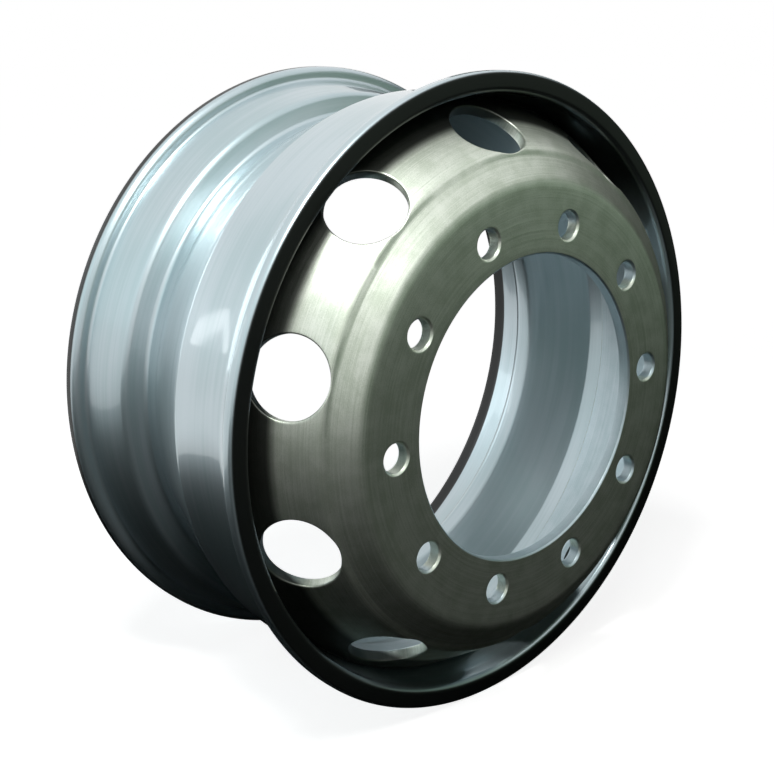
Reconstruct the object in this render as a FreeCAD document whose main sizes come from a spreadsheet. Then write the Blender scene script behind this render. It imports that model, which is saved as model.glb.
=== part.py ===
import FreeCAD, Part
import math
import os
import Sketcher

# Steel disc wheel for a tubeless truck tyre, 22.5 by 9.00, ten studs on a 335 circle.
# Millimetres. The wheel stands upright: its axis is Y, the convex outboard face looks to -Y, +Z is up.
# The origin is on the axis, in the plane of the face that sits against the hub.

doc = FreeCAD.newDocument("wheel")
sheet = doc.addObject("Spreadsheet::Sheet", "Dimensions")

# Driving dimensions: alias, value, what it measures
DIMENSIONS = [
    ("rim_width", 228.6, "between the two bead heels"),
    ("seat_diameter", 571.5, "bead seat at the heel"),
    ("seat_angle", 15.0, "taper of the bead seats, degrees"),
    ("seat_wall", 6.5, "wall under the bead seats"),
    ("flange_height", 12.75, "flange crest above the heel"),
    ("flange_width", 16.7, "from the heel to the rim's edge"),
    ("outer_seat_width", 25.0, "outboard bead seat, along the axis"),
    ("ledge_width", 66.3, "level ledge between the outboard seat and the slope"),
    ("slope_width", 70.0, "slope from the ledge down to the well, along the axis"),
    ("well_diameter", 508.0, "bottom of the drop well"),
    ("well_width", 16.0, "bottom of the drop well"),
    ("well_wall_run", 6.0, "axial run of the steep inboard wall of the well"),
    ("rim_wall", 5.5, "wall of the rim between the seats"),
    ("flange_front_round", 4.0, "outer corner of the flange"),
    ("flange_back_round", 8.0, "tyre side of the flange crest"),
    ("flange_bore_round", 6.0, "inner corner of the flange"),
    ("heel_round", 4.0, "root between flange and bead seat"),
    ("seat_end_round", 20.0, "where the outboard seat turns into the ledge"),
    ("ledge_round", 14.0, "top of the slope"),
    ("slope_foot_round", 12.0, "foot of the slope"),
    ("wall_foot_round", 5.0, "foot of the well's steep wall"),
    ("wall_top_round", 8.0, "top of the well's steep wall"),
    ("valve_hole", 9.7, "valve hole in the slope"),
    ("bore_diameter", 281.0, "centre bore"),
    ("bore_chamfer", 1.5, "chamfer at the front edge of the bore"),
    ("face_offset", 179.0, "from the rim's middle plane to the disc's outboard face"),
    ("disc_wall", 12.0, "disc at the bolting face"),
    ("cone_wall", 10.5, "disc at the hand holes"),
    ("skirt_wall", 9.0, "disc where it sits in the rim"),
    ("shoulder_run", 21.5, "from the unrounded edge of the face out to the crease"),
    ("shoulder_angle", 38.0, "lean of the shoulder from the face, degrees"),
    ("shoulder_round", 16.0, "outboard face into shoulder"),
    ("crease_round", 10.0, "crease round the foot of the shoulder"),
    ("band_run", 6.0, "from the crease out to the unrounded foot of the cone"),
    ("band_angle", 20.0, "lean of the narrow band beyond the crease, degrees"),
    ("arch_round", 9.0, "band into cone"),
    ("cone_run", 41.55, "from the unrounded foot of the cone out to the skirt"),
    ("cone_angle", 58.5, "lean of the cone from the face, degrees"),
    ("skirt_round", 18.0, "cone into skirt"),
    ("skirt_length", 44.0, "skirt, from its unrounded corner to its end"),
    ("stud_circle", 335.0, "pitch circle of the stud holes"),
    ("stud_count", 10, "stud holes"),
    ("stud_hole", 26.0, "stud hole"),
    ("stud_sink", 29.5, "mouth of the stud hole's chamfer"),
    ("hand_inset", 24.05, "from the skirt in to the hand holes' centres on the cone"),
    ("hand_count", 10, "hand holes"),
    ("hand_hole", 70.4, "hand hole, punched square to the cone"),
    ("pattern_turn", 3.5, "how far the first hand hole leans from straight up, degrees"),
    ("weld_leg", 7.0, "leg of the fillet weld"),
]

# Corners of the two sections, before rounding. Each takes two cells: NAME_y along the axis, NAME_r from it.
LEVELS = [
    ("crest_r", "seat_diameter / 2 + flange_height"),
    ("gutter_r", "seat_diameter / 2 - seat_wall / cos(seat_angle * 1 deg)"),
    ("ledge_r", "seat_diameter / 2 - outer_seat_width * tan(seat_angle * 1 deg)"),
    ("middle_y", "face_offset - disc_wall"),
    ("outer_edge_y", "middle_y - rim_width / 2 - flange_width"),
    ("inner_edge_y", "middle_y + rim_width / 2 + flange_width"),
    ("skirt_r", "ledge_r - rim_wall"),
    ("hand_r", "skirt_r - hand_inset"),
]
RIM_CORNERS = [
    ("outer_bore", "outer_edge_y", "gutter_r"),
    ("outer_front", "outer_edge_y", "crest_r"),
    ("outer_back", "outer_edge_y + flange_width", "crest_r"),
    ("outer_heel", "outer_edge_y + flange_width", "seat_diameter / 2"),
    ("outer_seat_end", "outer_heel_y + outer_seat_width", "ledge_r"),
    ("ledge_end", "outer_seat_end_y + ledge_width", "ledge_r"),
    ("slope_foot", "ledge_end_y + slope_width", "well_diameter / 2"),
    ("wall_foot", "slope_foot_y + well_width", "well_diameter / 2"),
    ("inner_heel", "inner_edge_y - flange_width", "seat_diameter / 2"),
    ("wall_top", "wall_foot_y + well_wall_run",
     "seat_diameter / 2 - (inner_heel_y - wall_top_y) * tan(seat_angle * 1 deg)"),
    ("inner_back", "inner_edge_y - flange_width", "crest_r"),
    ("inner_front", "inner_edge_y", "crest_r"),
    ("inner_bore", "inner_edge_y", "gutter_r"),
    ("inner_gutter_end", "inner_heel_y", "gutter_r"),
    ("outer_gutter_end", "outer_heel_y", "gutter_r"),
]
DISC_CORNERS = [
    ("bore_mouth", "bore_chamfer - disc_wall", "bore_diameter / 2"),
    ("bore_front", "-disc_wall", "bore_diameter / 2 + bore_chamfer"),
    ("shoulder", "-disc_wall", "skirt_r - cone_run - band_run - shoulder_run"),
    ("crease", "shoulder_y + shoulder_run * tan(shoulder_angle * 1 deg)", "shoulder_r + shoulder_run"),
    ("arch", "crease_y + band_run * tan(band_angle * 1 deg)", "crease_r + band_run"),
    ("skirt_start", "arch_y + cone_run * tan(cone_angle * 1 deg)", "skirt_r"),
    ("skirt_end", "skirt_start_y + skirt_length", "skirt_r"),
    ("skirt_end_in", "skirt_end_y", "skirt_end_r - skirt_wall"),
    ("bore_back", "0", "bore_diameter / 2"),
    ("weld_toe", "skirt_end_y + weld_leg", "skirt_end_r"),
    ("weld_root", "skirt_end_y", "skirt_end_r - weld_leg"),
]

# The far side of each wall: corner, the corner it lies behind, the corners before and after that one,
# and the wall thickness of the stretch before and after it
BACK_CORNERS = [
    ("outer_seat_end_in", "outer_heel", "outer_seat_end", "ledge_end", "seat_wall", "rim_wall"),
    ("ledge_end_in", "outer_seat_end", "ledge_end", "slope_foot", "rim_wall", "rim_wall"),
    ("slope_foot_in", "ledge_end", "slope_foot", "wall_foot", "rim_wall", "rim_wall"),
    ("wall_foot_in", "slope_foot", "wall_foot", "wall_top", "rim_wall", "rim_wall"),
    ("wall_top_in", "wall_foot", "wall_top", "inner_heel", "rim_wall", "seat_wall"),
    ("shoulder_in", "bore_front", "shoulder", "arch", "disc_wall", "disc_wall"),
    ("arch_in", "shoulder", "arch", "skirt_start", "disc_wall", "cone_wall"),
    ("skirt_start_in", "arch", "skirt_start", "skirt_end", "cone_wall", "skirt_wall"),
]

# Roundings of the inner corners follow the outer ones through the wall
ROUNDS = [
    ("ledge_round_in", "ledge_round - rim_wall"),
    ("slope_foot_round_in", "slope_foot_round + rim_wall"),
    ("wall_foot_round_in", "wall_foot_round + rim_wall"),
    ("wall_top_round_in", "wall_top_round - rim_wall"),
    ("seat_end_round_in", "seat_end_round + rim_wall"),
    ("shoulder_round_in", "shoulder_round - disc_wall"),
    ("arch_round_in", "arch_round"),
    ("skirt_round_in", "skirt_round - cone_wall"),
]

# Each section as corners in order, with the rounding of each
RIM_SECTION = [
    ("outer_bore", "flange_bore_round"),
    ("outer_front", "flange_front_round"),
    ("outer_back", "flange_back_round"),
    ("outer_heel", "heel_round"),
    ("outer_seat_end", "seat_end_round"),
    ("ledge_end", "ledge_round"),
    ("slope_foot", "slope_foot_round"),
    ("wall_foot", "wall_foot_round"),
    ("wall_top", "wall_top_round"),
    ("inner_heel", "heel_round"),
    ("inner_back", "flange_back_round"),
    ("inner_front", "flange_front_round"),
    ("inner_bore", "flange_bore_round"),
    ("inner_gutter_end", "seat_end_round"),
    ("wall_top_in", "wall_top_round_in"),
    ("wall_foot_in", "wall_foot_round_in"),
    ("slope_foot_in", "slope_foot_round_in"),
    ("ledge_end_in", "ledge_round_in"),
    ("outer_seat_end_in", "seat_end_round_in"),
    ("outer_gutter_end", "seat_end_round"),
]
DISC_SECTION = [
    ("bore_mouth", None),
    ("bore_front", None),
    ("shoulder", "shoulder_round"),
    ("crease", "crease_round"),
    ("arch", "arch_round"),
    ("skirt_start", "skirt_round"),
    ("skirt_end", None),
    ("skirt_end_in", None),
    ("skirt_start_in", "skirt_round_in"),
    ("arch_in", "arch_round_in"),
    ("shoulder_in", "shoulder_round_in"),
    ("bore_back", None),
]
WELD_SECTION = [("skirt_end", None), ("weld_toe", None), ("weld_root", None)]

AXIS_DIRECTION = FreeCAD.Vector(0, -1, 0)
OVERCUT = 40.0


def fill_sheet():
    """Writes the driving numbers, then the cells that follow from them."""
    cells = [(alias, str(value), note) for alias, value, note in DIMENSIONS]
    cells += [(alias, "=" + formula, "") for alias, formula in LEVELS]
    for corner, along, radius in RIM_CORNERS + DISC_CORNERS:
        cells += [(corner + "_r", "=" + radius, ""), (corner + "_y", "=" + along, "")]
    for corner, before, at, after, wall_before, wall_after in BACK_CORNERS:
        cells += back_corner_cells(corner, before, at, after, wall_before, wall_after)
    cells += [(alias, "=" + formula, "") for alias, formula in ROUNDS]
    for row, (alias, text, note) in enumerate(cells, start=1):
        sheet.set(f"A{row}", alias)
        sheet.set(f"C{row}", note)
        sheet.setAlias(f"B{row}", alias)
    for row, (alias, text, note) in enumerate(cells, start=1):
        sheet.set(f"B{row}", text)
    doc.recompute()


def back_corner_cells(corner, before, at, after, wall_before, wall_after):
    """Cells of the corner where the two stretches that meet at a corner meet again, a wall further in.

    With a and b as the directions of the two stretches, and s and t their walls, it lies off the corner
    by (t cos a - s cos b) / sin(b - a) along the axis and (t sin a - s sin b) / sin(b - a) from it.
    """
    a, b = corner + "_a", corner + "_b"
    return [
        (a, f"=atan2({at}_r - {before}_r; {at}_y - {before}_y)", ""),
        (b, f"=atan2({after}_r - {at}_r; {after}_y - {at}_y)", ""),
        (corner + "_y", f"={at}_y + ({wall_after} * cos({a}) - {wall_before} * cos({b})) / sin({b} - {a})", ""),
        (corner + "_r", f"={at}_r + ({wall_after} * sin({a}) - {wall_before} * sin({b})) / sin({b} - {a})", ""),
    ]


def value(alias):
    """A cell of the sheet as a plain number."""
    found = sheet.get(alias)
    return float(getattr(found, "Value", found))


def origin_plane(body, role):
    """One of the body's own origin planes."""
    return next(item for item in body.Origin.OriginFeatures if item.Role == role)


def origin_axis(body, role):
    """One of the body's own origin axes, as a reference."""
    return (next(item for item in body.Origin.OriginFeatures if item.Role == role), [""])


def new_body(label):
    """A body turned about the wheel's axis by the angle of the hole pattern."""
    body = doc.addObject("PartDesign::Body", label)
    body.Label = label
    body.Placement = FreeCAD.Placement(FreeCAD.Vector(), FreeCAD.Rotation(AXIS_DIRECTION, value("pattern_turn")))
    body.setExpression("Placement.Rotation.Angle", "Dimensions.pattern_turn")
    return body


def rounded_corner(before, at, after, radius):
    """Start and end points and centre of the arc that rounds a corner, and whether it turns left."""
    into = (at - before).normalize()
    out = (after - at).normalize()
    cross = into.x * out.y - into.y * out.x
    turn = math.atan2(cross, into.dot(out))
    length = radius * math.tan(abs(turn) / 2)
    start = at - into * length
    side = FreeCAD.Vector(-into.y, into.x, 0) * math.copysign(1.0, turn)
    return start, at + out * length, start + side * radius, turn > 0


def arc_between(start, end, centre, radius, turns_left):
    """The arc from start to end, or from end to start where the outline turns right."""
    first, last = (start, end) if turns_left else (end, start)
    angles = [math.atan2(point.y - centre.y, point.x - centre.x) for point in (first, last)]
    if angles[1] < angles[0]:
        angles[1] += 2 * math.pi
    return Part.ArcOfCircle(Part.Circle(centre, FreeCAD.Vector(0, 0, 1), radius), *angles)


def bind(sketch, constraint, name, alias):
    """Adds a size to the sketch and ties it to a cell."""
    index = sketch.addConstraint(constraint)
    sketch.renameConstraint(index, name)
    sketch.setExpression("Constraints." + name, "Dimensions." + alias)


def section_sketch(body, name, section):
    """Closed outline in the plane of the axis: x runs along the axis, y away from it."""
    sketch = body.newObject("Sketcher::SketchObject", name)
    sketch.AttachmentSupport = (origin_plane(body, "YZ_Plane"), [""])
    sketch.MapMode = "FlatFace"
    corners = [FreeCAD.Vector(value(c + "_y"), value(c + "_r"), 0) for c, _ in section]
    radii = [value(alias) if alias else 0.0 for _, alias in section]
    count = len(section)
    ends = []
    for i in range(count):
        before, at, after = corners[i - 1], corners[i], corners[(i + 1) % count]
        ends.append(rounded_corner(before, at, after, radii[i]))
    lines = [sketch.addGeometry(Part.LineSegment(ends[i][1], ends[(i + 1) % count][0]), False)
             for i in range(count)]
    for i, (corner, radius_alias) in enumerate(section):
        line_in, line_out = lines[i - 1], lines[i]
        start, end, centre, turns_left = ends[i]
        if radius_alias is None:
            sketch.addConstraint(Sketcher.Constraint("Coincident", line_in, 2, line_out, 1))
            vertex, position = line_out, 1
        else:
            arc = sketch.addGeometry(arc_between(start, end, centre, radii[i], turns_left), False)
            near, far = (1, 2) if turns_left else (2, 1)
            vertex, position = sketch.addGeometry(Part.Point(corners[i]), True), 1
            sketch.addConstraint(Sketcher.Constraint("PointOnObject", vertex, 1, line_in))
            sketch.addConstraint(Sketcher.Constraint("PointOnObject", vertex, 1, line_out))
            sketch.addConstraint(Sketcher.Constraint("Tangent", line_in, 2, arc, near))
            sketch.addConstraint(Sketcher.Constraint("Tangent", line_out, 1, arc, far))
            bind(sketch, Sketcher.Constraint("Radius", arc, radii[i]), corner + "_round", radius_alias)
        bind(sketch, Sketcher.Constraint("DistanceX", vertex, position, corners[i].x), corner + "_y", corner + "_y")
        bind(sketch, Sketcher.Constraint("DistanceY", vertex, position, corners[i].y), corner + "_r", corner + "_r")
    return sketch


def revolve_section(body, sketch, name):
    """Turns a section once round the wheel's axis."""
    turned = body.newObject("PartDesign::Revolution", name)
    turned.Profile = (sketch, [""])
    turned.ReferenceAxis = (sketch, ["H_Axis"])
    turned.Angle = 360
    sketch.Visibility = False
    doc.recompute()
    return turned


def cutter(body, kind, name, sizes, place, angle):
    """A cylinder that cuts, lying in the plane across X, its axis tipped from +Z towards -Y by an angle."""
    tool = body.newObject("PartDesign::Subtractive" + kind, name)
    tool.Placement = FreeCAD.Placement(FreeCAD.Vector(), FreeCAD.Rotation(FreeCAD.Vector(1, 0, 0), 1.0))
    for prop, formula in sizes.items():
        tool.setExpression(prop, formula)
    for direction, formula in place.items():
        tool.setExpression("Placement.Base." + direction, formula)
    tool.setExpression("Placement.Rotation.Angle", angle)
    return tool


def pattern(body, name, originals, count_alias):
    """Repeats cuts evenly round the wheel's axis."""
    ring = body.newObject("PartDesign::PolarPattern", name)
    ring.Originals = originals
    ring.Axis = origin_axis(body, "Y_Axis")
    ring.Angle = 360
    ring.setExpression("Occurrences", "Dimensions." + count_alias)
    body.Tip = ring
    doc.recompute()
    return ring


def check_cut(body, before, what):
    """A cut has to take something away."""
    after = body.Shape.Volume
    if not after < before - 1:
        raise ValueError(f"{what} cut nothing")
    return after


def make_rim():
    """The hoop: two flanges, two tapered bead seats, ledge, slope and drop well, and the valve hole."""
    body = new_body("rim")
    revolve_section(body, section_sketch(body, "RimSection", RIM_SECTION), "RimHoop")
    volume = body.Shape.Volume
    slope = "atan((Dimensions.ledge_end_r - Dimensions.slope_foot_r) / Dimensions.slope_width)"
    middle_y = "(Dimensions.ledge_end_y + Dimensions.slope_foot_y) / 2"
    middle_r = "(Dimensions.ledge_end_r + Dimensions.slope_foot_r) / 2"
    depth = f"{OVERCUT / 2}"
    valve = cutter(body, "Cylinder", "ValveHole",
                   {"Radius": "Dimensions.valve_hole / 2", "Height": f"{OVERCUT}"},
                   {"y": f"{middle_y} - {depth} * sin({slope})", "z": f"-({middle_r}) + {depth} * cos({slope})"},
                   f"180 + {slope} / 1 deg")
    body.Tip = valve
    doc.recompute()
    check_cut(body, volume, "valve hole")
    return body


def stud_hole(body):
    """One stud hole, chamfered at the outboard face, half a hand hole's step from straight up."""
    step = "180 deg / Dimensions.stud_count"
    reach = value("stud_circle") / 2
    turn = math.radians(180 / value("stud_count"))
    centre = FreeCAD.Vector(reach * math.sin(turn), reach * math.cos(turn), 0)
    sketch = body.newObject("Sketcher::SketchObject", "StudCircle")
    sketch.AttachmentSupport = (origin_plane(body, "XZ_Plane"), [""])
    sketch.MapMode = "FlatFace"
    sketch.setExpression("AttachmentOffset.Base.z", "Dimensions.disc_wall")
    circle = sketch.addGeometry(Part.Circle(centre, FreeCAD.Vector(0, 0, 1), value("stud_hole") / 2), False)
    bind(sketch, Sketcher.Constraint("Radius", circle, value("stud_hole") / 2), "hole", "stud_hole / 2")
    bind(sketch, Sketcher.Constraint("DistanceX", circle, 3, centre.x), "across", f"stud_circle / 2 * sin({step})")
    bind(sketch, Sketcher.Constraint("DistanceY", circle, 3, centre.y), "up", f"stud_circle / 2 * cos({step})")
    doc.recompute()
    hole = body.newObject("PartDesign::Hole", "StudHole")
    hole.Profile = (sketch, [""])
    hole.DepthType = "ThroughAll"
    hole.HoleCutType = "Countersink"
    hole.HoleCutCountersinkAngle = 90
    hole.setExpression("Diameter", "Dimensions.stud_hole")
    hole.setExpression("HoleCutDiameter", "Dimensions.stud_sink")
    sketch.Visibility = False
    body.Tip = hole
    doc.recompute()
    return hole


def make_disc():
    """The pressed disc with its bore, stud holes and hand holes."""
    body = new_body("disc")
    revolve_section(body, section_sketch(body, "DiscSection", DISC_SECTION), "DiscPlate")
    volume = body.Shape.Volume
    pattern(body, "StudHoles", [stud_hole(body)], "stud_count")
    volume = check_cut(body, volume, "stud holes")
    lean = "(Dimensions.cone_angle * 1 deg)"
    centre_r = "Dimensions.hand_r"
    centre_y = f"(Dimensions.arch_y + ({centre_r} - Dimensions.arch_r) * tan({lean}))"
    depth = f"{OVERCUT / 2}"
    hand = cutter(body, "Cylinder", "HandHole",
                  {"Radius": "Dimensions.hand_hole / 2", "Height": f"{OVERCUT}"},
                  {"y": f"{centre_y} + {depth} * cos({lean})", "z": f"{centre_r} - {depth} * sin({lean})"},
                  "90 - Dimensions.cone_angle")
    pattern(body, "HandHoles", [hand], "hand_count")
    check_cut(body, volume, "hand holes")
    return body


def make_weld():
    """The fillet weld round the end of the skirt."""
    body = new_body("disc_weld")
    revolve_section(body, section_sketch(body, "WeldSection", WELD_SECTION), "WeldBead")
    return body


def check_document(bodies):
    """Stops if any object failed or any sub-part is not a sound solid."""
    for item in doc.Objects:
        if {"Invalid", "Error"} & set(item.State):
            raise ValueError(f"{item.Name} failed: {item.State}")
    for body in bodies:
        if body.Shape.isNull() or not body.Shape.isValid() or len(body.Shape.Solids) != 1:
            raise ValueError(f"{body.Label} is not one sound solid")


fill_sheet()
subparts = [make_rim(), make_disc(), make_weld()]
doc.recompute()
check_document(subparts)
os.makedirs("parts", exist_ok=True)
for subpart in subparts:
    subpart.Shape.exportStep(f"parts/{subpart.Label}.step")
    print(subpart.Label, round(subpart.Shape.Volume), len(subpart.Shape.Faces))
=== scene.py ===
import math

import bmesh
import bpy
import numpy as np
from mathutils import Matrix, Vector


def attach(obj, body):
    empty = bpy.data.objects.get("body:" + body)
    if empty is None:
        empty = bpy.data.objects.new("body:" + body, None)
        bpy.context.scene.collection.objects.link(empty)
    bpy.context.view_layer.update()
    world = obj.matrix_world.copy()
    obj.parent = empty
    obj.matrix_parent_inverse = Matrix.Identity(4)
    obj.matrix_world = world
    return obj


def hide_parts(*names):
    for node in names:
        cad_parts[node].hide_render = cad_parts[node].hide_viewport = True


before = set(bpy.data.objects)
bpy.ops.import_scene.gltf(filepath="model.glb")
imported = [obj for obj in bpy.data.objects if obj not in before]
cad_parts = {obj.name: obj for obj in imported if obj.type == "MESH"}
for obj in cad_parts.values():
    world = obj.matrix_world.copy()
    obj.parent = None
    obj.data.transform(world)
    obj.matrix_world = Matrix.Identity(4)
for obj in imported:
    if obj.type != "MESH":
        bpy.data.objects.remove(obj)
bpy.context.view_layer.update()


# The rim: one hoop of steel strip, butt-welded, rolled to a drop-centre section and painted glossy silver. It
# carries the tyre between its two flanges, and the disc is welded inside its ledge. Its two edges are black,
# and the gutter inside the outboard flange has painted shade at the top and on the left.
RIM_WALL = 5.5
SEAT_WALL = 6.5
SEAT_TILT = math.radians(15)
SEAT_SLOPE = math.tan(SEAT_TILT)
HEEL_R = 285.75
CREST_R = HEEL_R + 12.75
GUTTER_R = HEEL_R - SEAT_WALL / math.cos(SEAT_TILT)
WELL_R = 254.0
OUTER_EDGE = 36.0
INNER_EDGE = 298.0
FLANGE = 16.7
OUTER_SEAT = 25.0
LEDGE = 66.3
SLOPE = 70.0
WELL = 16.0
STEEP_WALL = 6.0
LEDGE_R = HEEL_R - OUTER_SEAT * SEAT_SLOPE
LEDGE_START = OUTER_EDGE + FLANGE + OUTER_SEAT
LEDGE_END = LEDGE_START + LEDGE
WELL_START = LEDGE_END + SLOPE
WELL_END = WELL_START + WELL
WALL_TOP = WELL_END + STEEP_WALL
WALL_TOP_R = HEEL_R - (INNER_EDGE - FLANGE - WALL_TOP) * SEAT_SLOPE
EDGE_ROUND = 4.0
RIM_EDGE_ROUND = 6.0
HOOK_ROUND = 8.0
HEEL_ROUND = 4.0
GUTTER_ROUND = 20.0
LEDGE_START_ROUND = 20.0
LEDGE_END_ROUND = 14.0
WELL_START_ROUND = 12.0
WELL_END_ROUND = 5.0
WALL_TOP_ROUND = 8.0
CELLS = 360
HALVINGS = 40
RING_SPACING = 0.8
PATTERN_TURN = math.radians(3.5)


def behind(before, at, after, wall_before, wall_after):
    """The corner a wall further in. Each stretch moves by its wall along its own normal, and they meet
    again: the shift is (after's wall * before's way - before's wall * after's way) / sin(turn)."""
    way_in = math.atan2(at[1] - before[1], at[0] - before[0])
    way_out = math.atan2(after[1] - at[1], after[0] - at[0])
    sine = math.sin(way_out - way_in)
    return (at[0] + (wall_after * math.cos(way_in) - wall_before * math.cos(way_out)) / sine,
            at[1] + (wall_after * math.sin(way_in) - wall_before * math.sin(way_out)) / sine)


def outline(corners, arc_step, line_step):
    """Closed outline through (along, radius, rounding) corners. Each corner is an arc that touches both its
    sides: it starts rounding * tan(turn / 2) before the corner and its centre lies a rounding off the side.
    Points come every arc_step degrees on arcs and every line_step on straight runs."""
    at = np.array([corner[:2] for corner in corners], float)
    rounding = np.array([corner[2] for corner in corners], float)
    runs = np.roll(at, -1, 0) - at
    ways = runs / np.hypot(*runs.T)[:, None]
    before = np.roll(ways, 1, 0)
    turn = np.arctan2(before[:, 0] * ways[:, 1] - before[:, 1] * ways[:, 0], (before * ways).sum(1))
    cut = rounding * np.tan(np.abs(turn) / 2)
    pieces = []
    for k in range(len(corners)):
        side = np.array([-before[k, 1], before[k, 0]]) * np.sign(turn[k])
        centre = at[k] - before[k] * cut[k] + side * rounding[k]
        steps = max(2, int(np.ceil(abs(math.degrees(turn[k])) / arc_step)))
        angle = np.linspace(0, turn[k], steps + 1)[:, None]
        spoke = -side * rounding[k]
        across = np.array([-spoke[1], spoke[0]])
        pieces.append(centre + spoke * np.cos(angle) + across * np.sin(angle))
        following = (k + 1) % len(corners)
        start = at[k] + ways[k] * cut[k]
        end = at[following] - ways[k] * cut[following]
        steps = max(1, int(np.ceil(np.hypot(*(end - start)) / line_step)))
        share = np.linspace(0, 1, steps + 1)[1:-1, None]
        pieces.append(start + (end - start) * share)
    points = np.concatenate(pieces)
    closed = np.vstack([points, points[:1]])
    return points, np.append(0, np.cumsum(np.hypot(*np.diff(closed, axis=0).T)))


def quads(rows, columns, start=0):
    """Corner numbers of the quads between neighbours of a grid of points that are numbered from start."""
    index = np.arange(rows * columns).reshape(rows, columns) + start
    return np.stack([index[:-1, :-1], index[:-1, 1:], index[1:, 1:], index[1:, :-1]], -1)


def closed_piece(name, points, faces):
    """Keeps the points, given in millimetres, that faces of four corners use, joins those that lie on one
    place, and makes the object, in metres."""
    used, corners = np.unique(faces, return_inverse=True)
    points = points[used] / 1000
    _, first, index = np.unique(np.round(points, 6) + 0.0, axis=0, return_index=True, return_inverse=True)
    made = bpy.data.meshes.new(name)
    made.from_pydata(points[first].tolist(), [], index.reshape(-1)[corners].reshape(-1, 4).tolist())
    made.validate()
    work = bmesh.new()
    work.from_mesh(made)
    bmesh.ops.recalc_face_normals(work, faces=work.faces)
    work.to_mesh(made)
    work.free()
    made.shade_smooth()
    piece = bpy.data.objects.new(name, made)
    bpy.context.scene.collection.objects.link(piece)
    return piece


class Turned:
    """A closed outline turned round the Y axis. A point has two parameters, the turn from +Z towards -X and
    the run along the outline, and lies at (-r sin turn, y, r cos turn) with y and r read at that run. Each
    room is a stretch of the outline, the (along, radius) of its middle, its half length and its cells, that
    gets evenly spaced rows because holes go there."""

    def __init__(self, corners, rooms):
        fine, self.fine_runs = outline(corners, arc_step=1.0, line_step=0.5)
        self.fine = np.vstack([fine, fine[:1]])
        coarse = outline(corners, arc_step=9.0, line_step=14.0)[0]
        runs = np.append(self.near(coarse), self.fine_runs[-1])
        self.rooms = []
        for middle, half, cells in rooms:
            run = self.near(np.array([middle]))[0]
            runs = runs[np.abs(runs - run) > half + 1]
            runs = np.append(runs, np.linspace(run - half, run + half, cells + 1))
            self.rooms.append((run, half))
        self.runs = np.unique(runs)
        self.step = 2 * np.pi / CELLS
        self.open = np.ones((CELLS, len(self.runs) - 1), bool)
        self.points, self.faces = [], []

    def near(self, points):
        """Runs of the points of the fine outline that are nearest to these."""
        gap = np.hypot(*(self.fine[:-1, None] - points[None]).transpose(2, 0, 1))
        return self.fine_runs[gap.argmin(0)]

    def at(self, turn, run):
        turn, run = np.broadcast_arrays(turn, run)
        y = np.interp(run, self.fine_runs, self.fine[:, 0])
        r = np.interp(run, self.fine_runs, self.fine[:, 1])
        return np.stack([-r * np.sin(turn), y, r * np.cos(turn)], -1)

    def grid(self, points, keep=...):
        """Adds a sheet of quads over a grid of points, or those of its quads that are kept."""
        corners = quads(*points.shape[:2], sum(len(part) for part in self.points))
        self.points.append(points.reshape(-1, 3))
        self.faces.append(corners[keep].reshape(-1, 4))

    def window(self, cell, half_cells, room, back):
        """Takes the cells round a hole's centre out of the grid and gives the ring of nodes round the gap.
        On the back of the wall the outline runs the other way, so the ring is mirrored to match the front."""
        run, half = self.rooms[room]
        left, right = cell - half_cells, cell + half_cells
        low, high = [np.abs(self.runs - (run + way)).argmin() for way in (-half, half)]
        up, along = np.arange(left, right), np.arange(low, high)
        self.open[(up % CELLS)[:, None], along] = False
        ring_turn = np.concatenate([up, np.full(len(along), right), up[::-1] + 1,
                                    np.full(len(along) + 1, left)])
        ring_run = np.concatenate([np.full(len(up), low), along, np.full(len(up), high),
                                   along[::-1] + 1, [low]])
        if back:
            ring_run = low + high - ring_run
        return PATTERN_TURN + ring_turn * self.step, self.runs[ring_run], run

    def hole(self, cell, half_cells, rooms, centre, axis, radius, lips, layers=10):
        """A round hole through the wall. Rings run from the gap's edge to the hole along straight lines in
        the two parameters, as far as the point whose distance from the hole's axis is its radius, which is
        found by halving. A lip then goes from the surface into the hole by (out, down) steps, and the wall
        joins the two lips."""
        turn = PATTERN_TURN + cell * self.step
        rings = []
        for back, (room, lip) in enumerate(zip(rooms, lips)):
            edge_turn, edge_run, run = self.window(cell, half_cells, room, back)
            low, high = np.zeros((2, len(edge_run))), np.ones((2, len(edge_run)))
            reach = np.array([[radius], [radius + lip[0][0]]])
            for _ in range(HALVINGS):
                middle = (low + high) / 2
                off = self.at(turn + middle * (edge_turn - turn), run + middle * (edge_run - run)) - centre
                inside = np.linalg.norm(off - (off @ axis)[..., None] * axis, axis=-1) < reach
                low, high = np.where(inside, middle, low), np.where(inside, high, middle)
            share = 1 + (low[1] - 1) * np.linspace(0, 1, layers)[:, None] ** RING_SPACING
            sheet = self.at(turn + share * (edge_turn - turn), run + share * (edge_run - run))
            corner = self.at(turn + low[0] * (edge_turn - turn), run + low[0] * (edge_run - run))
            out = sheet[-1] - corner
            out /= np.linalg.norm(out, axis=-1, keepdims=True)
            steps = np.array(lip[1:])[:, :, None, None]
            down = axis if back else -axis
            sheet = np.concatenate([sheet, corner + steps[:, 0] * out + steps[:, 1] * down])
            self.grid(sheet)
            rings.append(sheet[-1])
        share = np.linspace(0, 1, 5)[:, None, None]
        self.grid(rings[0] + (rings[1] - rings[0]) * share)

    def piece(self, name):
        """Adds the turned sheet round its holes and makes the object from all the sheets."""
        turn = PATTERN_TURN + np.arange(CELLS + 1) * self.step
        self.grid(self.at(turn[:, None], self.runs[None]), self.open)
        return closed_piece(name, np.concatenate(self.points), np.concatenate(self.faces))


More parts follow.
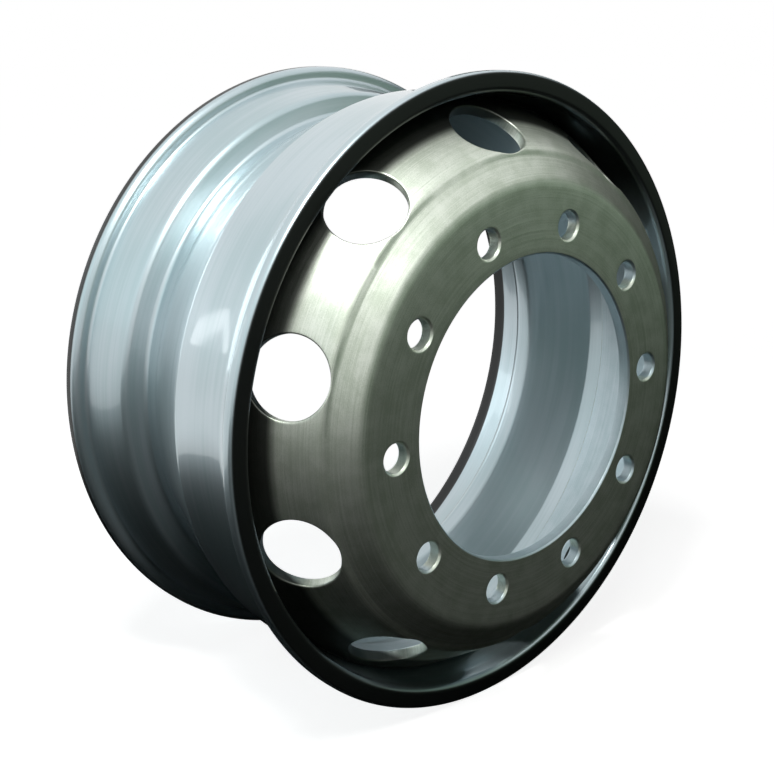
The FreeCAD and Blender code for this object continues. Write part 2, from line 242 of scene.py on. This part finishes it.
def rolled_lip(size):
    """Steps of a quarter round of this radius, for turns from 0 to a right angle: size * (1 - sin turn)
    out along the surface and size * (1 - cos turn) down into the hole."""
    turns = np.linspace(0, np.pi / 2, 5)
    return [(size * (1 - math.sin(turn)), size * (1 - math.cos(turn))) for turn in turns]


class Tone:
    """One output of a node. Arithmetic on tones and numbers adds Math nodes to the same tree."""

    def __init__(self, nodes, socket):
        self.nodes, self.socket = nodes, socket

    def math(self, operation, *others):
        return self.nodes.node("Math", {"operation": operation}, dict(enumerate((self,) + others)))

    def __add__(self, other):
        return self.math("ADD", other)

    def __sub__(self, other):
        return self.math("SUBTRACT", other)

    def __rsub__(self, other):
        return self.math("MULTIPLY_ADD", -1.0, other)

    def __mul__(self, other):
        return self.math("MULTIPLY", other)

    def __truediv__(self, other):
        return self.math("DIVIDE", other)

    __radd__, __rmul__ = __add__, __mul__

    def step(self, low, high):
        """0 up to low, 1 from high on, smooth between."""
        return self.nodes.node("MapRange", {"interpolation_type": "SMOOTHSTEP"},
                               {"Value": self, "From Min": low, "From Max": high})


class Nodes:
    """The node tree of a material or the world."""

    def __init__(self, owner):
        self.owner = owner
        owner.use_nodes = True

    def node(self, kind, settings={}, sockets={}, output=0):
        """Adds a node of this kind with its settings, then sets or links its sockets."""
        made = self.owner.node_tree.nodes.new("ShaderNode" + kind)
        for name, setting in settings.items():
            setattr(made, name, setting)
        for name, value in sockets.items():
            self.feed(made.inputs[name], value)
        return Tone(self, made.outputs[output])

    def feed(self, socket, value):
        if isinstance(value, Tone):
            self.owner.node_tree.links.new(value.socket, socket)
        else:
            socket.default_value = value

    def blend(self, share, first, second):
        return self.node("Mix", {"data_type": "RGBA"}, {0: share, 6: first, 7: second}, output=2)

    def finished(self, shader="Principled BSDF", **sockets):
        """Sets or links these sockets of the shader, and gives the material or world."""
        for name, value in sockets.items():
            self.feed(self.owner.node_tree.nodes[shader].inputs[name.replace("_", " ")], value)
        return self.owner


class Finish(Nodes):
    """A finish on object coordinates: x, y, z, the distance r from the wheel's axis, and how far the surface
    faces outwards from the axis or along it."""

    def __init__(self, name):
        super().__init__(bpy.data.materials.new(name))
        self.place = self.node("TexCoord", output="Object")
        self.x, self.y, self.z = self.parts(self.place)
        self.r = (self.x * self.x + self.z * self.z).math("SQRT")
        facing_x, self.along, facing_z = self.parts(self.node("NewGeometry", output="Normal"))
        self.outwards = (facing_x * self.x + facing_z * self.z) / self.r

    def parts(self, vector):
        first = self.node("SeparateXYZ", sockets={0: vector})
        return [Tone(self, output) for output in first.socket.node.outputs]

    def noise(self, vector, scale, detail, roughness=0.5):
        return self.node("TexNoise", sockets={"Vector": vector, "Scale": scale, "Detail": detail,
                                              "Roughness": roughness})

    def round_lines(self, pitch):
        """A vector for turned lines: it changes fast across the section and slowly round the wheel."""
        across = (self.y + self.r * 0.8) / pitch
        return self.node("CombineXYZ", sockets={0: self.x / self.r * 1.5, 1: across,
                                                2: self.z / self.r * 1.5})

    def bump(self, height, strength, distance):
        return self.node("Bump", sockets={"Height": height, "Strength": strength, "Distance": distance})


RIM_OUTER = [(OUTER_EDGE, GUTTER_R, RIM_EDGE_ROUND), (OUTER_EDGE, CREST_R, EDGE_ROUND),
             (OUTER_EDGE + FLANGE, CREST_R, HOOK_ROUND), (OUTER_EDGE + FLANGE, HEEL_R, HEEL_ROUND),
             (LEDGE_START, LEDGE_R, LEDGE_START_ROUND), (LEDGE_END, LEDGE_R, LEDGE_END_ROUND),
             (WELL_START, WELL_R, WELL_START_ROUND), (WELL_END, WELL_R, WELL_END_ROUND),
             (WALL_TOP, WALL_TOP_R, WALL_TOP_ROUND), (INNER_EDGE - FLANGE, HEEL_R, HEEL_ROUND),
             (INNER_EDGE - FLANGE, CREST_R, HOOK_ROUND), (INNER_EDGE, CREST_R, EDGE_ROUND)]
RIM_INNER = [(INNER_EDGE, GUTTER_R, RIM_EDGE_ROUND), (INNER_EDGE - FLANGE, GUTTER_R, GUTTER_ROUND),
             behind(*RIM_OUTER[7:10], RIM_WALL, SEAT_WALL) + (WALL_TOP_ROUND - RIM_WALL,),
             behind(*RIM_OUTER[6:9], RIM_WALL, RIM_WALL) + (WELL_END_ROUND + RIM_WALL,),
             behind(*RIM_OUTER[5:8], RIM_WALL, RIM_WALL) + (WELL_START_ROUND + RIM_WALL,),
             behind(*RIM_OUTER[4:7], RIM_WALL, RIM_WALL) + (LEDGE_END_ROUND - RIM_WALL,),
             behind(*RIM_OUTER[3:6], SEAT_WALL, RIM_WALL) + (LEDGE_START_ROUND + RIM_WALL,),
             (OUTER_EDGE + FLANGE, GUTTER_R, GUTTER_ROUND)]
SLOPE_TILT = math.atan((LEDGE_R - WELL_R) / SLOPE)
VALVE = ((LEDGE_END + WELL_START) / 2, (LEDGE_R + WELL_R) / 2)
VALVE_BACK = (VALVE[0] - RIM_WALL * math.sin(SLOPE_TILT), VALVE[1] - RIM_WALL * math.cos(SLOPE_TILT))
VALVE_TURN = PATTERN_TURN + math.pi
VALVE_AXIS = np.array([-math.cos(SLOPE_TILT) * math.sin(VALVE_TURN), math.sin(SLOPE_TILT),
                       math.cos(SLOPE_TILT) * math.cos(VALVE_TURN)])
VALVE_R = 4.85
VALVE_ROOM = (12.0, 6)
VALVE_CELLS = 3
hoop = Turned(RIM_OUTER + RIM_INNER, [(VALVE,) + VALVE_ROOM, (VALVE_BACK,) + VALVE_ROOM])
hoop.hole(CELLS // 2, VALVE_CELLS, (0, 1), hoop.at(VALVE_TURN, hoop.rooms[0][0]), VALVE_AXIS, VALVE_R,
          (rolled_lip(0.5), rolled_lip(0.5)), layers=6)
rim = hoop.piece("rim_hoop")

SILVER = (0.52, 0.61, 0.65, 1)
SILVER_DEEP = (0.42, 0.53, 0.56, 1)
PAINTED_SHADE = (0.055, 0.068, 0.066, 1)
BLACK = (0.005, 0.006, 0.006, 1)
OUTER_BLACK = (0.0363, 0.0375)
INNER_BLACK = (0.2870, 0.2890)
BLACK_LAP = 0.009
GUTTER_FADE = (0.070, 0.110)
SHADE_FADE = (0.0, 0.15)
gloss = Finish("gloss_silver")
cloud = gloss.noise(gloss.place, scale=9.0, detail=2.0)
peel = gloss.noise(gloss.place, scale=420.0, detail=2.0)
lines = gloss.noise(gloss.round_lines(pitch=0.004), scale=1.0, detail=2.0)
inside = 1 - gloss.outwards.step(-0.2, 0.2)
# Painted shade: the gutter inside the outboard flange is darkened at the top and on the left, and stays
# silver at the lower right, where the light falls on it.
gutter = inside * (1 - gloss.y.step(*GUTTER_FADE)) * (1 - (gloss.x - gloss.z).step(*SHADE_FADE))
black = (1 - gloss.y.step(*OUTER_BLACK)) + (gloss.y + inside * BLACK_LAP).step(*INNER_BLACK)
silver = gloss.blend((cloud * 0.6 + lines * 0.4).step(0.35, 0.65), SILVER, SILVER_DEEP)
rim.data.materials.append(gloss.finished(
    Base_Color=gloss.blend(black, gloss.blend(gutter, silver, PAINTED_SHADE), BLACK),
    Metallic=0.8 * (1 - black), Roughness=0.30 + cloud * 0.10 + black * 0.10,
    Coat_Weight=1 - black * 0.9, Coat_Roughness=0.06, Specular_IOR_Level=0.35,
    Normal=gloss.bump(peel * 0.5 + lines * 0.6, strength=0.12, distance=0.0004)))
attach(rim, "root")
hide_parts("rim")


# The disc: steel plate pressed and spun into a dish, with a flat bolting face, a groove below its shoulder
# and a cone that ends in a skirt inside the rim. Bore, stud holes and hand holes are punched. It is painted
# satin silver, bluer on its inner walls, with painted shade where the cone's outer end goes down beside
# the gutter.
DISC_WALL = 12.0
CONE_WALL = 10.5
SKIRT_WALL = 9.0
GROOVE_RUN = 21.5
GROOVE_TILT = math.radians(38)
BAND_RUN = 6.0
BAND_TILT = math.radians(20)
CONE_RUN = 41.55
CONE_TILT = math.radians(58.5)
SKIRT_RUN = 44.0
SKIRT_R = LEDGE_R - RIM_WALL
BORE_R = 140.5
BORE_CHAMFER = 1.5
SHARP = 0.5
SHOULDER_ROUND = 16.0
CREASE_ROUND = 10.0
ARCH_ROUND = 9.0
SKIRT_ROUND = 18.0
SHOULDER = (-DISC_WALL, SKIRT_R - GROOVE_RUN - BAND_RUN - CONE_RUN)
CREASE = (SHOULDER[0] + GROOVE_RUN * math.tan(GROOVE_TILT), SHOULDER[1] + GROOVE_RUN)
ARCH = (CREASE[0] + BAND_RUN * math.tan(BAND_TILT), CREASE[1] + BAND_RUN)
SKIRT = (ARCH[0] + CONE_RUN * math.tan(CONE_TILT), SKIRT_R)
SKIRT_END = SKIRT[0] + SKIRT_RUN
DISC_FRONT = [(BORE_CHAMFER - DISC_WALL, BORE_R, SHARP), (-DISC_WALL, BORE_R + BORE_CHAMFER, SHARP),
              SHOULDER + (SHOULDER_ROUND,), CREASE + (CREASE_ROUND,), ARCH + (ARCH_ROUND,),
              SKIRT + (SKIRT_ROUND,), (SKIRT_END, SKIRT_R, SHARP)]
DISC_BACK = [(SKIRT_END, SKIRT_R - SKIRT_WALL, SHARP),
             behind(ARCH, SKIRT, (SKIRT_END, SKIRT_R), CONE_WALL, SKIRT_WALL) + (SKIRT_ROUND - CONE_WALL,),
             behind(SHOULDER, ARCH, SKIRT, DISC_WALL, CONE_WALL) + (ARCH_ROUND,),
             behind(DISC_FRONT[1], SHOULDER, ARCH, DISC_WALL, DISC_WALL) + (SHOULDER_ROUND - DISC_WALL,),
             (0.0, BORE_R, SHARP)]
HOLES = 10
PITCH = CELLS // HOLES
HAND_HOLE_R = 35.2
HAND_R = SKIRT_R - 24.05
HAND = (ARCH[0] + (HAND_R - ARCH[1]) * math.tan(CONE_TILT), HAND_R)
HAND_BACK = (HAND[0] + CONE_WALL * math.cos(CONE_TILT), HAND[1] - CONE_WALL * math.sin(CONE_TILT))
HAND_ROOM = (40.0, 20)
HAND_CELLS = 11
STUD_HOLE_R = 13.0
STUD_R = 167.5
STUD_ROOM = (18.0, 10)
STUD_CELLS = 7
STUD_CHAMFER = [(1.95, 0.0), (1.75, 0.06), (1.6, 0.18), (0.18, 1.6), (0.06, 1.75), (0.0, 1.95)]
plate = Turned(DISC_FRONT + DISC_BACK,
               [(HAND,) + HAND_ROOM, (HAND_BACK,) + HAND_ROOM,
                ((-DISC_WALL, STUD_R),) + STUD_ROOM, ((0.0, STUD_R),) + STUD_ROOM])
for k in range(HOLES):
    turn = PATTERN_TURN + k * 2 * math.pi / HOLES
    square = np.array([-math.sin(CONE_TILT) * math.sin(turn), -math.cos(CONE_TILT),
                       math.sin(CONE_TILT) * math.cos(turn)])
    centre = np.array([-HAND[1] * math.sin(turn), HAND[0], HAND[1] * math.cos(turn)])
    plate.hole(PITCH * k, HAND_CELLS, (0, 1), centre, square, HAND_HOLE_R, (rolled_lip(1.6), rolled_lip(1.0)))
    turn += math.pi / HOLES
    centre = np.array([-STUD_R * math.sin(turn), 0.0, STUD_R * math.cos(turn)])
    plate.hole(PITCH * k + PITCH // 2, STUD_CELLS, (2, 3), centre, np.array([0.0, -1.0, 0.0]), STUD_HOLE_R,
               (STUD_CHAMFER, rolled_lip(0.4)), layers=6)
disc = plate.piece("disc_plate")

STEEL = (0.71, 0.76, 0.68, 1)
STEEL_DEEP = (0.49, 0.555, 0.46, 1)
POCKET_FADE = (0.2505, 0.2570)
satin = Finish("satin_silver")
mottle = satin.noise(satin.place, scale=60.0, detail=4.0)
grain = satin.noise(satin.place, scale=1100.0, detail=2.0, roughness=0.7)
lathe = satin.noise(satin.round_lines(pitch=0.0016), scale=1.0, detail=4.0, roughness=0.7)
inside = 1 - satin.outwards.step(-0.6, -0.2)
tone = satin.blend((mottle * 0.3 + grain * 0.3 + lathe * 0.4).step(0.38, 0.62),
                   satin.blend(inside, STEEL, SILVER), satin.blend(inside, STEEL_DEEP, SILVER_DEEP))
# Painted shade: the cone's outer end, down in the pocket beside the gutter, is darkened nearly to black.
pocket_painted_shade = satin.r.step(*POCKET_FADE) * (1 - satin.along.step(-0.3, 0.0))
disc.data.materials.append(satin.finished(
    Base_Color=satin.blend(pocket_painted_shade * 0.9, tone, BLACK), Metallic=0.8,
    Roughness=0.30 + grain * 0.10 + lathe * 0.08,
    Coat_Weight=0.1, Coat_Roughness=0.25, Specular_IOR_Level=0.3,
    Normal=satin.bump(grain * 0.5 + lathe * 0.9, strength=0.35, distance=0.0004)))
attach(disc, "root")
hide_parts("disc")


# The weld: a fillet of steel laid all round, in one pass, between the end of the disc's skirt and the inside
# of the rim, and painted with them. Its face is slightly crowned, with close ripples across the bead.
WELD_LEG = 7.0
WELD_CROWN = 0.7
RIPPLES = 440
RIPPLE_HEIGHT = 0.22
RIPPLE_TRAIL = 3.0


def weld_face(turn, across):
    """Points of the bead's face. Across runs from 0 at the skirt to 1 at the rim on a straight line between
    the legs, raised by crown * sin(pi across). The ripples are cosines that trail towards both edges."""
    along = SKIRT_END + WELD_LEG * across
    r = SKIRT_R - WELD_LEG * (1 - across)
    ripple = np.cos(RIPPLES * turn + RIPPLE_TRAIL * (2 * across - 1) ** 2)
    lift = np.sin(np.pi * across) * (WELD_CROWN + RIPPLE_HEIGHT * ripple) * math.sqrt(0.5)
    return np.stack([-(r - lift) * np.sin(turn), along + lift, (r - lift) * np.cos(turn)], -1)


turn = np.linspace(0, 2 * np.pi, RIPPLES * 8 + 1)[:, None]
face = weld_face(turn, np.linspace(0, 1, 8)[None])
root = np.stack([-SKIRT_R * np.sin(turn), np.full_like(turn, SKIRT_END), SKIRT_R * np.cos(turn)], -1)
bead = np.concatenate([face, root, face[:, :1]], 1)
weld = closed_piece("weld_bead", bead.reshape(-1, 3), quads(*bead.shape[:2]).reshape(-1, 4))
sprayed = Finish("weld_silver")
scale = sprayed.noise(sprayed.place, scale=240.0, detail=3.0)
weld.data.materials.append(sprayed.finished(
    Base_Color=sprayed.blend(scale.step(0.35, 0.65), SILVER, STEEL_DEEP), Metallic=0.3,
    Roughness=0.38 + scale * 0.15, Coat_Weight=0.3, Coat_Roughness=0.2,
    Normal=sprayed.bump(scale, strength=0.3, distance=0.0004)))
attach(weld, "root")
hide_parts("disc_weld")


# The studio: a plain pale floor, a white backdrop and soft lamps, with the camera at the photograph's angle.
# Cloths on the floor, and cards in front of the wheel and on its right, are seen by glossy rays alone, so
# that the paint has something dark to reflect. The card in front also glows a dim green, which puts a
# painted green reflection on the paint.
camera = bpy.data.objects.new("camera", bpy.data.cameras.new("camera"))
bpy.context.scene.collection.objects.link(camera)
camera.data.lens = 58.96
camera.data.sensor_width = 36.0
camera.data.shift_x = 0.0048
camera.data.shift_y = -0.0663
camera.data.clip_start = 0.05
camera.location = (-0.8380, -0.7377, 0.3212)
camera.rotation_mode = "QUATERNION"
camera.rotation_quaternion = Vector((0.6534, 0.7229, -0.2246)).to_track_quat("-Z", "Y")
bpy.context.scene.camera = camera

FLOOR_Z = -0.2985
CLOTH_Z = FLOOR_Z + 0.0005
FLOOR_PALE = (0.80, 0.80, 0.80, 1)
FLOOR_DIM = (0.002, 0.002, 0.002, 1)
WORLD_DIM = (0.001, 0.001, 0.001, 1)
WHITE = (1, 1, 1, 1)
CLOTH_BLACK = (0.01, 0.01, 0.01, 1)
CARD_GREEN = (0.75, 1, 0.76, 1)


def lamp(name, place, aim, size, power, colour):
    """A soft rectangular lamp that looks from its place to its aim."""
    light = bpy.data.lights.new(name, "AREA")
    light.shape = "RECTANGLE"
    light.size, light.size_y = size
    light.energy = power
    light.color = colour
    made = bpy.data.objects.new(name, light)
    made.location = place
    made.rotation_mode = "QUATERNION"
    made.rotation_quaternion = (Vector(aim) - Vector(place)).to_track_quat("-Z", "Y")
    bpy.context.scene.collection.objects.link(made)


lamp("key", (-0.70, -0.28, 1.28), (0, 0, 0), (0.4, 0.4), 12.5, (1, 1, 0.98))
lamp("near", (-0.48, -0.48, 0.78), (0, -0.02, 0), (0.25, 0.25), 2.3, (1, 1, 0.97))
lamp("side", (-1.7, 0.5, 0.9), (0, 0.1, 0), (1.2, 1.2), 1.2, (0.45, 0.95, 1))
lamp("pane", (-1.63, 2.10, 0.55), (-0.26, 0.1, 0.1), (0.08, 0.5), 0.45, (0.95, 0.98, 1))
lamp("back", (-0.45, 1.7, 0.30), (0.1, 0.15, 0), (0.5, 0.7), 2.2, (0.85, 0.95, 1))


def staged(name, points, faces):
    """A part of the studio with these points and faces."""
    made = bpy.data.meshes.new(name)
    made.from_pydata(points, [], faces)
    piece = bpy.data.objects.new(name, made)
    bpy.context.scene.collection.objects.link(piece)
    return piece


def sheet(name, x, y, z):
    """A flat sheet between two x and two y at height z."""
    return staged(name, [(x[0], y[0], z), (x[1], y[0], z), (x[1], y[1], z), (x[0], y[1], z)], [(0, 1, 2, 3)])


def card(name, corners, top):
    """An upright card that stands on the floor along these (x, y) corners, as high as its top."""
    count = len(corners)
    points = [(x, y, z) for z in (FLOOR_Z, top) for x, y in corners]
    return staged(name, points, [(k, k + 1, count + k + 1, count + k) for k in range(count - 1)])


def shown(nodes):
    """1 for the rays that see the white of the studio: camera, glossy and transmission rays."""
    path = nodes.node("LightPath")
    rays = [Tone(nodes, path.socket.node.outputs[name])
            for name in ("Is Camera Ray", "Is Glossy Ray", "Is Transmission Ray")]
    return rays[0].math("MAXIMUM", rays[1].math("MAXIMUM", rays[2]))


floor = sheet("floor", (-30, 30), (-30, 30), FLOOR_Z)
pale = Nodes(bpy.data.materials.new("pale_floor"))
white = shown(pale)
away = pale.node("VectorMath", {"operation": "LENGTH"}, {0: pale.node("TexCoord", output="Object")},
                 output="Value").step(0.8, 3.0)
floor.data.materials.append(pale.finished(
    Base_Color=pale.blend(white, FLOOR_DIM, FLOOR_PALE), Roughness=1.0, Specular_IOR_Level=0.0,
    Emission_Color=WHITE, Emission_Strength=white * (0.88 + 0.12 * away)))

cloth = sheet("black_cloth", (-4, 5), (-5, 0.75), CLOTH_Z)
back_cloth = sheet("back_cloth", (0, 5), (0.75, 3), CLOTH_Z)
# This card glows a dim green and is seen by glossy rays alone: a painted reflection on the paint.
wall = card("green_glow_card", [(-1.5, -5), (2.2, -2.5), (2.2, -0.8)], 2.2)
screen = card("black_card", [(2.2, -0.8), (2.2, 2.5)], 1.5)
for flag, glow in ((cloth, 0.0), (back_cloth, 0.0), (wall, 0.30), (screen, 0.0)):
    for ray in ("camera", "diffuse", "transmission", "shadow"):
        setattr(flag, "visible_" + ray, False)
    flag.data.materials.append(Nodes(bpy.data.materials.new(flag.name)).finished(
        Base_Color=CLOTH_BLACK, Roughness=1.0, Specular_IOR_Level=0.0,
        Emission_Color=CARD_GREEN, Emission_Strength=glow))

world = Nodes(bpy.data.worlds.new("world"))
bpy.context.scene.world = world.finished("Background", Color=world.blend(shown(world), WORLD_DIM, WHITE))
bpy.context.scene.view_settings.view_transform = "Standard"
